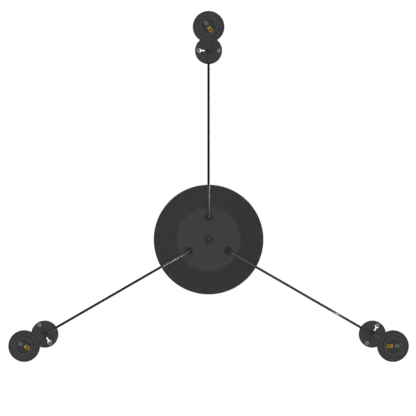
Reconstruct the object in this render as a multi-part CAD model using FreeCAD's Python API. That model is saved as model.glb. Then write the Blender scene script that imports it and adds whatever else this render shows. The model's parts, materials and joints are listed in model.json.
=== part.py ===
import FreeCAD, Part
import math
import os

# A pendant light with three lampholders on cables that run out from one ceiling canopy.
# Millimetres. The origin is on the ceiling, on the canopy's axis, and +Z points up.
# Each arm is modelled along +X and then turned about the canopy's axis to its own angle.

V = FreeCAD.Vector
UP = V(0, 0, 1)
CENTRE = V(0, 0, 0)

# Arms: their angle about the canopy, and how each lampholder has twisted on its cable
arm_angle = {"a": 30, "b": 150, "c": 270}
socket_turn = {"a": 150, "b": -121, "c": 147}

# Fits and small gaps shared by many pieces
thread_gap = 0.05
cable_gap = 0.15
bend_gap = 0.3
screw_gap = 0.1
touch_gap = 0.05
cut_over = 5.0
hexagon_sides = 6

# Canopy: a pressed steel shell, flat below, with a conical side and a short upright lip
canopy_r = 120.0
canopy_face_r = 70.4
canopy_h = 50.0
canopy_lip_h = 5.0
canopy_wall = 1.2
canopy_edge_r = 8.0

# Strap under the ceiling, with a slot at each end for a ceiling screw
strap_w = 20.0
strap_t = 2.0
strap_corner_r = 4.0
slot_spacing = 80.0
slot_l = 20.0
slot_w = 5.0
strap_end_l = 10.0
earth_screw_y = -22.0

# Stud that carries the canopy, its lock nut and the domed cap nut
stud_r = 3.0
stud_top_gap = 0.3
stud_hole_gap = 0.3
stud_nut_flats = 10.0
stud_nut_h = 5.0
cap_nut_r = 8.75
cap_nut_rim_h = 3.0
cap_nut_h = 10.0
cap_nut_bore_l = 6.0
cap_nut_top_r = 1.6
cap_nut_dome_share = 0.57

# Terminal block and its metal parts
pole_count = 6
pole_pitch = 10.0
block_y = 19.0
block_w = 18.0
block_h = 14.0
insert_r = 2.6
insert_wall = 0.8
insert_inset = 1.0
clamp_screw_r = 1.5
clamp_screw_inset = 0.6
drive_slot_w = 0.6
drive_slot_h = 0.8

# Small pan head screws on the strap
pan_head_r = 3.2
pan_head_h = 2.2
pan_shank_r = 1.5
block_screw_inset = 3.0

# Cable, its cores, and the threaded stem of the fittings that it passes through
cable_r = 2.6
core_r = 1.1
core_offset = 1.2
stem_r = 5.0

# Cable gland on the canopy, one for each arm
gland_at = 49.0
gland_collar_r = 8.0
gland_collar_h = 3.0
gland_r = 6.5
gland_h = 16.0
gland_edge_r = 1.2
gland_mouth_r = 4.2
gland_mouth_h = 3.0
gland_stem_l = 9.0
gland_nut_flats = 14.0
gland_nut_h = 4.0
gland_hole_gap = 0.2
gland_screw_z = 8.5
sheath_above = 6.8

# Grub screws of the glands, holders and cord grips
grub_r = 1.5
grub_inset = 0.4

# Anchor plate out on the ceiling, with a keyhole and a plain hole
anchor_at = 413.7
anchor_r = 29.75
anchor_t = 3.0
anchor_edge_r = 1.0
keyhole_y = 20.2
keyhole_r = 4.7
keyhole_slot_w = 3.3
keyhole_reach_y = 8.1
keyhole_screw_y = 23.0
plain_screw_y = 22.8
plain_hole_r = 1.9

# Wood screw that holds the anchor plate
wood_head_r = 4.5
wood_head_h = 2.4
wood_head_edge_r = 1.3
wood_shank_r = 1.5
wood_shank_l = 27.0
wood_tip_l = 4.0
cross_l = 4.6
cross_w = 0.9
cross_h = 1.4

# Cable holder under the anchor plate: the cable goes in at its side and hangs out below
holder_r = 7.0
holder_h = 23.0
holder_edge_r = 1.2
holder_entry_z = 10.0
holder_bend_r = 6.0
bell_r = 5.5
bell_h = 5.2
pivot_inset = 3.7
holder_screw_r = 2.0
holder_screw_head_r = 3.8
holder_screw_head_h = 2.0
holder_screw_inset = 0.2
holder_screw_reach = 5.5
holder_grub_x = 4.0

# Lampholder: heights are from the shade ring's lower face, which hangs this far down
ring_drop = 1000.0
ring_r = 30.8
ring_h = 9.0
ring_edge_h = 2.0
ring_top_r = 24.5
ring_lip_w = 1.9
ring_lip_h = 1.2
ring_lip_bevel = 0.7
ring_edge_r = 0.6

barrel_r = 20.0
barrel_relief = 0.6
barrel_step_h = 0.5
barrel_below = 25.0
barrel_above = 13.0
barrel_edge_r = 1.6
socket_r = 13.35
socket_l = 15.5
socket_chamfer = 0.6
socket_relief = 0.85
barrel_wall = 2.4
spigot_r = 18.2
spigot_l = 4.0

cap_side_h = 9.0
cap_h = 20.0
cap_top_r = 9.0
cap_shoulder_r = 7.0
cap_top_edge_r = 1.5
cap_wall = 2.4

floor_z = 2.0
floor_t = 9.0
floor_gap = 0.1
post_w = 7.0
post_l = 5.0
post_h = 2.0

contact_t = 0.6
contact_w = 8.2
contact_out_x = 12.3
contact_bend_x = 5.2
contact_tip_x = 0.2
contact_tip_z = 2.6
contact_slot_gap = 0.15
rivet_x = 7.3
rivet_r = 1.6
rivet_h = 0.5
side_contact_w = 6.8
side_contact_t = 0.5
side_contact_leg_l = 6.5
side_contact_in_x = 10.0
side_contact_reach_x = 3.9
floor_screw_x = 6.6
floor_screw_r = 2.7
floor_screw_h = 1.4
fixing_shank_r = 1.0
fixing_shank_l = 5.0

# Cord grip on top of the lampholder
grip_collar_r = 8.5
grip_collar_h = 3.5
grip_r = 7.0
grip_h = 20.0
grip_edge_r = 1.2
grip_stem_l = 9.0
grip_screw_z = 8.0

# Route of each swagged cable: distance out from the axis, and height
swag_route = [
    (49.0, -66.0),
    (49.0, -74.0),
    (52.1, -81.4),
    (57.7, -87.1),
    (66.0, -90.6),
    (79.9, -92.0),
    (105.9, -90.7),
    (153.4, -84.0),
    (221.6, -68.3),
    (290.3, -46.6),
    (346.5, -25.6),
    (375.2, -16.9),
    (391.5, -13.9),
    (402.0, -13.0),
]

# Routes of the cores inside the canopy: the side arms mirror each other in X
side_core_routes = [
    [(43.6, 24.5, -33.0), (43.6, 24.5, -26.0), (42.0, 30.0, -15.0), (34.0, 37.5, -9.0),
     (25.0, 35.5, -9.0), (25.0, 24.0, -9.0)],
    [(41.2, 24.5, -33.0), (41.2, 24.5, -28.0), (37.0, 31.0, -19.0), (27.0, 40.5, -10.0),
     (15.0, 38.0, -9.0), (15.0, 24.0, -9.0)],
]
front_core_route = [
    (1.2, -49.0, -33.0), (1.2, -49.0, -27.0), (4.0, -42.0, -17.0), (7.5, -22.0, -12.0),
    (7.5, -4.0, -10.5), (5.0, 6.0, -9.0), (5.0, 14.0, -9.0),
]

# Share of a run that an arc may take, so that two arcs never meet on it
arc_share = 0.45

# Where the cores of a lampholder bend outwards and down again, as shares of their fall
lead_fall_share = (0.27, 0.7)

# Sizes and heights that follow from the ones above
strap_l = slot_spacing + slot_l + 2 * strap_end_l
face_z = -canopy_h
gland_mouth_z = face_z - gland_h
sheath_top_z = face_z + canopy_wall + gland_stem_l + sheath_above
entry_z = -anchor_t - holder_entry_z
mouth_z = -anchor_t - holder_h
pivot_z = mouth_z + pivot_inset
barrel_mouth_z = -barrel_below
barrel_top_r = barrel_r - barrel_relief
cap_z = barrel_above
cap_top_z = cap_z + cap_h
grip_mouth_z = cap_top_z + grip_h
grip_pivot_z = grip_mouth_z - pivot_inset
bore_r = cable_r + cable_gap


def corner_arc(before, here, after, reach):
    # The arc that rounds one corner, from reach before it to reach after it
    back, ahead = (before - here).normalize(), (after - here).normalize()
    half = back.getAngle(ahead) / 2
    inward = (back + ahead).normalize()
    middle = here + inward * reach * (1 / math.cos(half) - math.tan(half))
    return here + back * reach, middle, here + ahead * reach


def side_limit(before, here, after):
    return arc_share * min((before - here).Length, (after - here).Length)


def joined_edges(ends):
    # Arcs, and the straight lines between one arc's end and the next one's start
    edges = []
    for (_, _, leave), (arrive, middle, end) in zip(ends, ends[1:]):
        if leave.distanceToPoint(arrive) > Part.Precision.confusion():
            edges.append(Part.LineSegment(leave, arrive).toShape())
        if middle is not None:
            edges.append(Part.Arc(arrive, middle, end).toShape())
    return edges


def outline(corners):
    # A closed wire in the XZ plane through corners (x, z) or (x, z, rounding radius)
    points = [V(corner[0], 0, corner[1]) for corner in corners]
    ends = []
    for i, corner in enumerate(corners):
        before, here, after = points[i - 1], points[i], points[(i + 1) % len(points)]
        if len(corner) == 3:
            half = (before - here).getAngle(after - here) / 2
            reach = min(corner[2] / math.tan(half), side_limit(before, here, after))
            ends.append(corner_arc(before, here, after, reach))
        else:
            ends.append((here, None, here))
    return Part.Wire(joined_edges([ends[-1]] + ends))


def turned(corners):
    return Part.Face(outline(corners)).revolve(CENTRE, UP, 360)


def extruded(corners, width):
    # A flat XZ outline given its width, centred on the XZ plane
    flat = Part.Face(outline(corners))
    flat.translate(V(0, -width / 2, 0))
    return flat.extrude(V(0, width, 0))


def cylinder(radius, low_z, high_z, x=0, y=0):
    return Part.makeCylinder(radius, high_z - low_z, V(x, y, low_z), UP)


def rod(radius, start, end):
    return Part.makeCylinder(radius, (end - start).Length, start, end - start)


def hexagon(across_flats, low_z, high_z, x=0, y=0):
    corner_r = across_flats / 2 / math.cos(math.pi / hexagon_sides)
    corners = []
    for side in range(hexagon_sides + 1):
        turn = 2 * math.pi * side / hexagon_sides
        corners.append(V(x + corner_r * math.cos(turn), y + corner_r * math.sin(turn), low_z))
    return Part.Face(Part.makePolygon(corners)).extrude(V(0, 0, high_z - low_z))


def box(x, y, z):
    # A box from its low and high limits along each axis
    return Part.makeBox(x[1] - x[0], y[1] - y[0], z[1] - z[0], V(x[0], y[0], z[0]))


def moved(shape, x=0, y=0, z=0):
    copy = shape.copy()
    copy.translate(V(x, y, z))
    return copy


def spun(shape, degrees):
    copy = shape.copy()
    copy.rotate(CENTRE, UP, degrees)
    return copy


def tube(points, radius, name, held_bend=None):
    # A round tube along straight runs joined by tangent arcs, as large as the runs allow.
    # Where the last bend is held in a fitting, it has the fitting's own radius.
    ends = [(points[0], None, points[0])]
    radii = []
    for before, here, after in zip(points, points[1:], points[2:]):
        half_turn = (math.pi - (before - here).getAngle(after - here)) / 2
        reach = side_limit(before, here, after)
        if held_bend is not None and after is points[-1]:
            reach = held_bend * math.tan(half_turn)
        ends.append(corner_arc(before, here, after, reach))
        radii.append(round(reach / math.tan(half_turn), 1))
    ends.append((points[-1], None, points[-1]))
    path = Part.Wire(joined_edges(ends))
    section = Part.Wire(Part.makeCircle(radius, points[0], points[1] - points[0]))
    solid = path.makePipeShell([section], True, False)
    expected = math.pi * radius ** 2 * path.Length
    print(name, "length", round(path.Length, 1), "volume over section x length",
          round(solid.Volume / expected, 4), "bend radii", radii)
    return solid


def grub_screw(length):
    # A headless screw along +X, from its tip at zero, with a slot across its outer end
    body = rod(grub_r, CENTRE, V(length, 0, 0))
    slot = box((length - drive_slot_h, length + cut_over), (-drive_slot_w / 2, drive_slot_w / 2),
               (-grub_r - touch_gap, grub_r + touch_gap))
    return body.cut(slot)


def grub_hole(start_x, end_x, z):
    return rod(grub_r + thread_gap, V(start_x, 0, z), V(end_x, 0, z))


def pan_screw(shank_l):
    # A small slotted pan head screw, its head under the XY plane and its shank above it
    head = turned([(0, 0), (pan_head_r, 0), (pan_head_r, -pan_head_h, pan_head_h / 2),
                   (0, -pan_head_h)])
    slot = box((-pan_head_r - cut_over, pan_head_r + cut_over),
               (-drive_slot_w / 2, drive_slot_w / 2),
               (-pan_head_h - cut_over, -pan_head_h + drive_slot_h))
    return head.cut(slot).fuse(cylinder(pan_shank_r, 0, shank_l)).removeSplitter()


def canopy():
    # The outer profile, then the same profile one wall further in
    rise = canopy_h - canopy_lip_h
    run = canopy_r - canopy_face_r
    slope = math.atan2(rise, run)
    inset = canopy_wall * math.tan(slope / 2)
    lip_inset = canopy_wall * math.tan((math.pi / 2 - slope) / 2)
    inner_edge_r = max(canopy_edge_r - canopy_wall, canopy_wall)
    shell = turned([
        (0, face_z),
        (canopy_face_r, face_z, canopy_edge_r),
        (canopy_r, -canopy_lip_h),
        (canopy_r, 0),
        (canopy_r - canopy_wall, 0),
        (canopy_r - canopy_wall, -canopy_lip_h - lip_inset),
        (canopy_face_r - inset, face_z + canopy_wall, inner_edge_r),
        (0, face_z + canopy_wall),
    ])
    shell = shell.cut(cylinder(stud_r + stud_hole_gap, face_z - cut_over, face_z + cut_over))
    for turn in arm_angle.values():
        hole = cylinder(stem_r + gland_hole_gap, face_z - cut_over, face_z + cut_over,
                        x=gland_at)
        shell = shell.cut(spun(hole, turn))
    return shell


def strap():
    plate = box((-strap_w / 2, strap_w / 2), (-strap_l / 2, strap_l / 2), (-strap_t, 0))
    upright = [e for e in plate.Edges if e.tangentAt(e.FirstParameter).cross(UP).Length < touch_gap]
    plate = plate.makeFillet(strap_corner_r, upright)
    low, high = -strap_t - cut_over, cut_over
    half = (slot_l - slot_w) / 2
    for side in (-1, 1):
        y = side * slot_spacing / 2
        slot = box((-slot_w / 2, slot_w / 2), (y - half, y + half), (low, high))
        for end in (-half, half):
            slot = slot.fuse(cylinder(slot_w / 2, low, high, y=y + end))
        plate = plate.cut(slot)
    plate = plate.cut(cylinder(stud_r + thread_gap, low, high))
    for y in (block_y, earth_screw_y):
        plate = plate.cut(cylinder(pan_shank_r + thread_gap, low, high, y=y))
    return plate


def stud():
    return cylinder(stud_r, face_z - cap_nut_bore_l + touch_gap, -stud_top_gap)


def stud_nut():
    low, high = -strap_t - stud_nut_h, -strap_t
    return hexagon(stud_nut_flats, low, high).cut(cylinder(stud_r + thread_gap, low, high))


def cap_nut():
    # A round nut with a steep dome that ends in a small flat
    rim_z = face_z - cap_nut_rim_h
    low_z = face_z - cap_nut_h
    dome_h = cap_nut_h - cap_nut_rim_h
    share = cap_nut_dome_share
    middle = V(cap_nut_top_r + (cap_nut_r - cap_nut_top_r) * share, 0, rim_z - dome_h * share)
    corners = [V(0, 0, low_z), V(0, 0, face_z), V(cap_nut_r, 0, face_z), V(cap_nut_r, 0, rim_z)]
    edges = [Part.LineSegment(a, b).toShape() for a, b in zip(corners, corners[1:])]
    flat_edge = V(cap_nut_top_r, 0, low_z)
    edges.append(Part.Arc(corners[-1], middle, flat_edge).toShape())
    edges.append(Part.LineSegment(flat_edge, corners[0]).toShape())
    nut = Part.Face(Part.Wire(edges)).revolve(CENTRE, UP, 360)
    return nut.cut(cylinder(stud_r + thread_gap, face_z - cap_nut_bore_l, face_z + cut_over))


def pole_places():
    middle = (pole_count - 1) / 2
    return [(pole - middle) * pole_pitch for pole in range(pole_count)]


block_top_z = -strap_t
block_low_z = block_top_z - block_h
pole_z = block_top_z - block_h / 2
block_ends_y = (block_y - block_w / 2, block_y + block_w / 2)
clamp_low_z = block_low_z + clamp_screw_inset


def terminal_block():
    half = pole_count * pole_pitch / 2
    block = box((-half, half), block_ends_y, (block_low_z, block_top_z))
    for x in pole_places():
        bore = rod(insert_r + thread_gap, V(x, block_ends_y[0] - cut_over, pole_z),
                   V(x, block_ends_y[1] + cut_over, pole_z))
        well = cylinder(clamp_screw_r + screw_gap, block_low_z - cut_over, pole_z, x=x, y=block_y)
        block = block.cut(bore).cut(well)
    seat_z = block_low_z + block_screw_inset
    block = block.cut(cylinder(pan_shank_r + screw_gap, seat_z, block_top_z + cut_over,
                               y=block_y))
    return block.cut(cylinder(pan_head_r + screw_gap, block_low_z - cut_over, seat_z, y=block_y))


def terminal_inserts():
    inserts = []
    for x in pole_places():
        start = V(x, block_ends_y[0] + insert_inset, pole_z)
        end = V(x, block_ends_y[1] - insert_inset, pole_z)
        insert = rod(insert_r, start, end).cut(rod(insert_r - insert_wall, start, end))
        well = cylinder(clamp_screw_r + thread_gap, pole_z - insert_r - cut_over, pole_z,
                        x=x, y=block_y)
        inserts.append(insert.cut(well))
    return Part.makeCompound(inserts)


def terminal_screws():
    screws = []
    for x in pole_places():
        screw = cylinder(clamp_screw_r, clamp_low_z, pole_z - core_r - touch_gap, x=x, y=block_y)
        slot = box((x - drive_slot_w / 2, x + drive_slot_w / 2),
                   (block_y - clamp_screw_r - cut_over, block_y + clamp_screw_r + cut_over),
                   (clamp_low_z - cut_over, clamp_low_z + drive_slot_h))
        screws.append(screw.cut(slot))
    return Part.makeCompound(screws)


def strap_screws():
    # The screw through the terminal block, and the earthing screw
    seat_z = block_low_z + block_screw_inset
    long_screw = moved(pan_screw(-stud_top_gap - seat_z), y=block_y, z=seat_z)
    earth_screw = moved(pan_screw(strap_t - stud_top_gap), y=earth_screw_y, z=-strap_t)
    return Part.makeCompound([long_screw, earth_screw])


def inner_leads():
    # The cable through each gland, and its two cores up to the terminal block
    solids = []
    for turn in arm_angle.values():
        sheath = cylinder(cable_r, gland_mouth_z, sheath_top_z, x=gland_at)
        solids.append(spun(sheath, turn))
    for side in (1, -1):
        for number, route in enumerate(side_core_routes):
            points = [V(side * x, y, z) for x, y, z in route]
            solids.append(tube(points, core_r, "side core {} {}".format(number, side)))
        points = [V(side * x, y, z) for x, y, z in front_core_route]
        solids.append(tube(points, core_r, "front core {}".format(side)))
    return Part.makeCompound(solids)


def gland():
    body = turned([
        (bore_r, gland_stem_l + canopy_wall),
        (stem_r, gland_stem_l + canopy_wall),
        (stem_r, 0),
        (gland_collar_r, 0),
        (gland_collar_r, -gland_collar_h, gland_edge_r),
        (gland_r, -gland_collar_h),
        (gland_r, -gland_h, gland_edge_r),
        (gland_mouth_r, -gland_h),
        (bore_r, -gland_h + gland_mouth_h),
    ])
    body = body.cut(grub_hole(0, gland_r + cut_over, -gland_screw_z))
    return moved(spun(body, 90), x=gland_at, z=face_z)


def gland_nuts():
    low = face_z + canopy_wall
    nut = hexagon(gland_nut_flats, low, low + gland_nut_h)
    nut = moved(nut.cut(cylinder(stem_r + thread_gap, low, low + gland_nut_h)), x=gland_at)
    return Part.makeCompound([spun(nut, turn) for turn in arm_angle.values()])


def gland_grubs():
    screw = moved(grub_screw(gland_r - grub_inset - cable_r - touch_gap), x=cable_r + touch_gap)
    screw = moved(spun(screw, 90), x=gland_at, z=face_z - gland_screw_z)
    return Part.makeCompound([spun(screw, turn) for turn in arm_angle.values()])


def swag_cable():
    points = [V(x, 0, z) for x, z in swag_route]
    points += [V(anchor_at, 0, entry_z), V(anchor_at, 0, pivot_z + cable_r + bend_gap)]
    return tube(points, cable_r, "swag", holder_bend_r)


def anchor_plate():
    plate = turned([(0, 0), (anchor_r, 0), (anchor_r, -anchor_t, anchor_edge_r), (0, -anchor_t)])
    low, high = -anchor_t - cut_over, cut_over
    half = keyhole_slot_w / 2
    inner_y = -(keyhole_reach_y + half)
    keyhole = box((-half, half), (-keyhole_screw_y, inner_y), (low, high))
    keyhole = keyhole.fuse(cylinder(half, low, high, y=inner_y))
    keyhole = keyhole.fuse(cylinder(half, low, high, y=-keyhole_screw_y))
    keyhole = keyhole.fuse(cylinder(keyhole_r, low, high, y=-keyhole_y))
    plate = plate.cut(keyhole).cut(cylinder(plain_hole_r, low, high, y=plain_screw_y))
    plate = plate.cut(cylinder(holder_screw_r + screw_gap, low, high))
    sink_z = -holder_screw_inset - holder_screw_head_h
    sink = turned([(0, sink_z), (holder_screw_r + screw_gap, sink_z),
                   (holder_screw_head_r + screw_gap, -holder_screw_inset),
                   (holder_screw_head_r + screw_gap, cut_over), (0, cut_over)])
    return moved(plate.cut(sink), x=anchor_at)


def wood_screw():
    head = turned([(0, 0), (wood_head_r, 0), (wood_head_r, -wood_head_h, wood_head_edge_r),
                   (0, -wood_head_h)])
    for turn in (0, 90):
        bar = box((-cross_l / 2, cross_l / 2), (-cross_w / 2, cross_w / 2),
                  (-wood_head_h - cut_over, -wood_head_h + cross_h))
        head = head.cut(spun(bar, turn))
    shank = turned([(0, 0), (wood_shank_r, 0), (wood_shank_r, wood_shank_l - wood_tip_l),
                    (0, wood_shank_l)])
    return moved(head.fuse(shank).removeSplitter(), z=-anchor_t)


def anchor_screws():
    screws = []
    for turn in arm_angle.values():
        for y, twist in ((-keyhole_screw_y, 20), (plain_screw_y, 65)):
            screw = moved(spun(wood_screw(), twist), x=anchor_at, y=y)
            screws.append(spun(screw, turn))
    return Part.makeCompound(screws)


def holder():
    body = turned([(0, -anchor_t), (holder_r, -anchor_t), (holder_r, mouth_z, holder_edge_r),
                   (0, mouth_z)])
    bend_start = V(-holder_bend_r, 0, entry_z)
    way = rod(bore_r, V(-holder_r - cut_over, 0, entry_z), bend_start)
    section = Part.Face(Part.Wire(Part.makeCircle(bore_r, V(0, 0, entry_z - holder_bend_r), UP)))
    bend = section.revolve(V(-holder_bend_r, 0, entry_z - holder_bend_r), V(0, -1, 0), 90)
    bell_z = mouth_z + bell_h
    down = cylinder(bore_r, bell_z, entry_z - holder_bend_r)
    bell = turned([(0, bell_z), (bore_r, bell_z), (bell_r, mouth_z), (bell_r, mouth_z - cut_over),
                   (0, mouth_z - cut_over)])
    body = body.cut(way).cut(bend).cut(down).cut(bell)
    body = body.cut(cylinder(holder_screw_r + thread_gap, -anchor_t - holder_screw_reach,
                             -anchor_t + cut_over))
    hole = moved(spun(grub_hole(0, holder_r + cut_over, 0), 90), x=-holder_grub_x, z=entry_z)
    return moved(body.cut(hole), x=anchor_at)


def holder_screws():
    top_z = -holder_screw_inset
    screw = turned([(0, top_z), (holder_screw_head_r, top_z),
                    (holder_screw_r, top_z - holder_screw_head_h),
                    (holder_screw_r, -anchor_t - holder_screw_reach + touch_gap),
                    (0, -anchor_t - holder_screw_reach + touch_gap)])
    slot = box((-holder_screw_head_r - cut_over, holder_screw_head_r + cut_over),
               (-drive_slot_w / 2, drive_slot_w / 2), (top_z - drive_slot_h, cut_over))
    screw = moved(screw.cut(slot), x=anchor_at)
    return Part.makeCompound([spun(screw, turn) for turn in arm_angle.values()])


def holder_grubs():
    tip = cable_r + touch_gap
    outer = math.sqrt(holder_r ** 2 - holder_grub_x ** 2) - grub_inset
    screw = moved(grub_screw(outer - tip), x=tip)
    screw = moved(spun(screw, 90), x=anchor_at - holder_grub_x, z=entry_z)
    return Part.makeCompound([spun(screw, turn) for turn in arm_angle.values()])


def drop_cable():
    # A straight cable with round ends, which turn in the holder's and the grip's bells
    low = -ring_drop + grip_pivot_z
    body = cylinder(cable_r, low, pivot_z)
    for end in (low, pivot_z):
        body = body.fuse(Part.makeSphere(cable_r, V(0, 0, end)))
    return moved(body.removeSplitter(), x=anchor_at)


def cord_grip():
    body = turned([
        (bore_r, cap_top_z - grip_stem_l),
        (stem_r, cap_top_z - grip_stem_l),
        (stem_r, cap_top_z),
        (grip_collar_r, cap_top_z),
        (grip_collar_r, cap_top_z + grip_collar_h, grip_edge_r),
        (grip_r, cap_top_z + grip_collar_h),
        (grip_r, grip_mouth_z, grip_edge_r),
        (bell_r, grip_mouth_z),
        (bore_r, grip_mouth_z - bell_h),
    ])
    return body.cut(grub_hole(0, grip_r + cut_over, cap_top_z + grip_screw_z))


def cord_grip_screw():
    tip = cable_r + touch_gap
    return moved(grub_screw(grip_r - grub_inset - tip), x=tip, z=cap_top_z + grip_screw_z)


def lampholder_cap():
    inner_r = barrel_top_r - cap_wall
    return turned([
        (barrel_top_r, cap_z),
        (barrel_top_r, cap_z + cap_side_h, cap_shoulder_r),
        (cap_top_r, cap_top_z, cap_top_edge_r),
        (stem_r + thread_gap, cap_top_z),
        (stem_r + thread_gap, cap_top_z - cap_wall),
        (cap_top_r - cap_wall / 2, cap_top_z - cap_wall),
        (inner_r, cap_z + cap_side_h - cap_wall / 2, cap_shoulder_r - cap_wall),
        (inner_r, cap_z + spigot_l + thread_gap),
        (spigot_r + thread_gap, cap_z + spigot_l + thread_gap),
        (spigot_r + thread_gap, cap_z),
    ])


def lampholder_barrel():
    cavity_r = barrel_r - barrel_wall - floor_gap
    step_z = barrel_mouth_z + socket_chamfer + socket_l
    return turned([
        (barrel_r, barrel_mouth_z, barrel_edge_r),
        (barrel_r, -barrel_step_h),
        (barrel_top_r, -barrel_step_h),
        (barrel_top_r, barrel_above),
        (spigot_r, barrel_above),
        (spigot_r, barrel_above + spigot_l),
        (cavity_r, barrel_above + spigot_l),
        (cavity_r, floor_z),
        (socket_r + socket_relief, floor_z),
        (socket_r + socket_relief, step_z),
        (socket_r, step_z),
        (socket_r, barrel_mouth_z + socket_chamfer),
        (socket_r + socket_chamfer, barrel_mouth_z),
    ])


def shade_ring():
    lip_inner = ring_r - ring_lip_w
    return turned([
        (barrel_top_r + thread_gap, 0),
        (lip_inner - ring_lip_bevel, 0),
        (lip_inner, -ring_lip_h),
        (ring_r, -ring_lip_h, ring_edge_r),
        (ring_r, ring_edge_h, ring_edge_r),
        (ring_top_r, ring_h),
        (barrel_top_r + thread_gap, ring_h),
    ])


def contact_block():
    # The floor of the socket, with two terminal posts on its back
    block = cylinder(barrel_r - barrel_wall - 2 * floor_gap, floor_z, floor_z + floor_t)
    top = floor_z + floor_t
    for x in (contact_out_x, -side_contact_in_x):
        block = block.fuse(box((x - post_l / 2, x + post_l / 2), (-post_w / 2, post_w / 2),
                               (top, top + post_h)))
    gap = contact_slot_gap
    block = block.cut(box((contact_out_x - contact_t - gap, contact_out_x + gap),
                          (-post_w / 4 - gap, post_w / 4 + gap), (0, top + post_h - post_h / 3)))
    block = block.cut(box((-side_contact_in_x - side_contact_t - gap, -side_contact_in_x + gap),
                          (-post_w / 4 - gap, post_w / 4 + gap), (0, top + post_h - post_h / 3)))
    for x in (rivet_x, -floor_screw_x):
        block = block.cut(cylinder(fixing_shank_r + thread_gap, floor_z - cut_over,
                                   floor_z + fixing_shank_l + screw_gap, x=x))
    return block.removeSplitter()


def centre_contact():
    # A brass tongue riveted to the floor, bent down to the middle of the socket
    fall = -contact_tip_z
    tongue = extruded([
        (contact_out_x, floor_z - contact_t),
        (contact_out_x, floor_z),
        (contact_bend_x, floor_z),
        (contact_tip_x, fall + contact_t),
        (contact_tip_x, fall),
        (contact_bend_x, floor_z - contact_t),
    ], contact_w)
    leg = box((contact_out_x - contact_t, contact_out_x), (-post_w / 4, post_w / 4),
              (floor_z - contact_t, floor_z + floor_t))
    hole = cylinder(fixing_shank_r + thread_gap, -cut_over, cut_over, x=rivet_x)
    return tongue.fuse(leg).cut(hole).removeSplitter()


def side_contact():
    # A brass strip up the socket's wall, bent in under the floor, with a leg up through it
    t = side_contact_t
    wall_x = socket_r + socket_relief / 2
    lower = extruded([
        (-wall_x, floor_z - side_contact_leg_l),
        (-wall_x + t, floor_z - side_contact_leg_l),
        (-wall_x + t, floor_z - t),
        (-side_contact_reach_x, floor_z - t),
        (-side_contact_reach_x, floor_z),
        (-wall_x, floor_z),
    ], side_contact_w)
    leg = box((-side_contact_in_x - t, -side_contact_in_x), (-post_w / 4, post_w / 4),
              (floor_z - t, floor_z + floor_t))
    hole = cylinder(fixing_shank_r + thread_gap, -cut_over, cut_over, x=-floor_screw_x)
    return lower.fuse(leg).cut(hole).removeSplitter()


def contact_fixings():
    # The rivet through the tongue, and the screw through the strip opposite it
    rivet_z = floor_z - contact_t
    rivet = cylinder(rivet_r, rivet_z - rivet_h, rivet_z, x=rivet_x)
    rivet = rivet.fuse(cylinder(fixing_shank_r, rivet_z, floor_z + fixing_shank_l, x=rivet_x))
    seat_z = floor_z - side_contact_t
    head = turned([(0, seat_z), (floor_screw_r, seat_z),
                   (floor_screw_r, seat_z - floor_screw_h, floor_screw_h / 2),
                   (0, seat_z - floor_screw_h)])
    head = head.cut(box((-floor_screw_r - cut_over, floor_screw_r + cut_over),
                        (-drive_slot_w / 2, drive_slot_w / 2),
                        (-cut_over, seat_z - floor_screw_h + drive_slot_h)))
    screw = head.fuse(cylinder(fixing_shank_r, seat_z, floor_z + fixing_shank_l))
    return Part.makeCompound([rivet.removeSplitter(),
                              moved(screw.removeSplitter(), x=-floor_screw_x)])


def head_leads():
    # The cable inside the cord grip, and its cores to the two terminal posts
    sheath_low = cap_top_z - grip_stem_l
    solids = [cylinder(cable_r, sheath_low, grip_pivot_z - cable_r - bend_gap)]
    post_top = floor_z + floor_t + post_h
    for post_x in (contact_out_x, -side_contact_in_x):
        side = math.copysign(1, post_x)
        gap_h = sheath_low - post_top
        points = [
            V(side * core_offset, 0, sheath_low),
            V(side * core_offset, 0, sheath_low - gap_h * lead_fall_share[0]),
            V(post_x, 0, sheath_low - gap_h * lead_fall_share[1]),
            V(post_x, 0, post_top),
        ]
        solids.append(tube(points, core_r, "head core {}".format(side)))
    return Part.makeCompound(solids)


root_nodes = {
    "ceiling_canopy": canopy,
    "mounting_strap": strap,
    "centre_stud": stud,
    "stud_nut": stud_nut,
    "cap_nut": cap_nut,
    "terminal_block": terminal_block,
    "terminal_inserts": terminal_inserts,
    "terminal_screws": terminal_screws,
    "strap_screws": strap_screws,
    "inner_leads": inner_leads,
    "gland_nuts": gland_nuts,
    "gland_grub_screws": gland_grubs,
    "anchor_screws": anchor_screws,
    "holder_fixing_screws": holder_screws,
    "holder_grub_screws": holder_grubs,
}

arm_nodes = {
    "cable_gland": gland,
    "swag_cable": swag_cable,
    "anchor_plate": anchor_plate,
    "cable_holder": holder,
    "drop_cable": drop_cable,
}

head_nodes = {
    "cord_grip": cord_grip,
    "cord_grip_screw": cord_grip_screw,
    "lampholder_cap": lampholder_cap,
    "lampholder_barrel": lampholder_barrel,
    "shade_ring": shade_ring,
    "contact_block": contact_block,
    "centre_contact": centre_contact,
    "side_contact": side_contact,
    "contact_fixings": contact_fixings,
    "head_leads": head_leads,
}


def save(node, shape):
    if not shape.isValid():
        raise ValueError(node + " is not a valid solid")
    shape.exportStep("parts/" + node + ".step")


os.makedirs("parts", exist_ok=True)
for node, make in root_nodes.items():
    save(node, make())
for node, make in arm_nodes.items():
    shape = make()
    for arm, turn in arm_angle.items():
        save(node + "_" + arm, spun(shape, turn))
for node, make in head_nodes.items():
    shape = make()
    for arm, turn in arm_angle.items():
        hung = moved(spun(shape, socket_turn[arm]), x=anchor_at, z=-ring_drop)
        save(node + "_" + arm, spun(hung, turn))
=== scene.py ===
import json
import math

import bmesh
import bpy
from mathutils import Matrix, Vector

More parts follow.
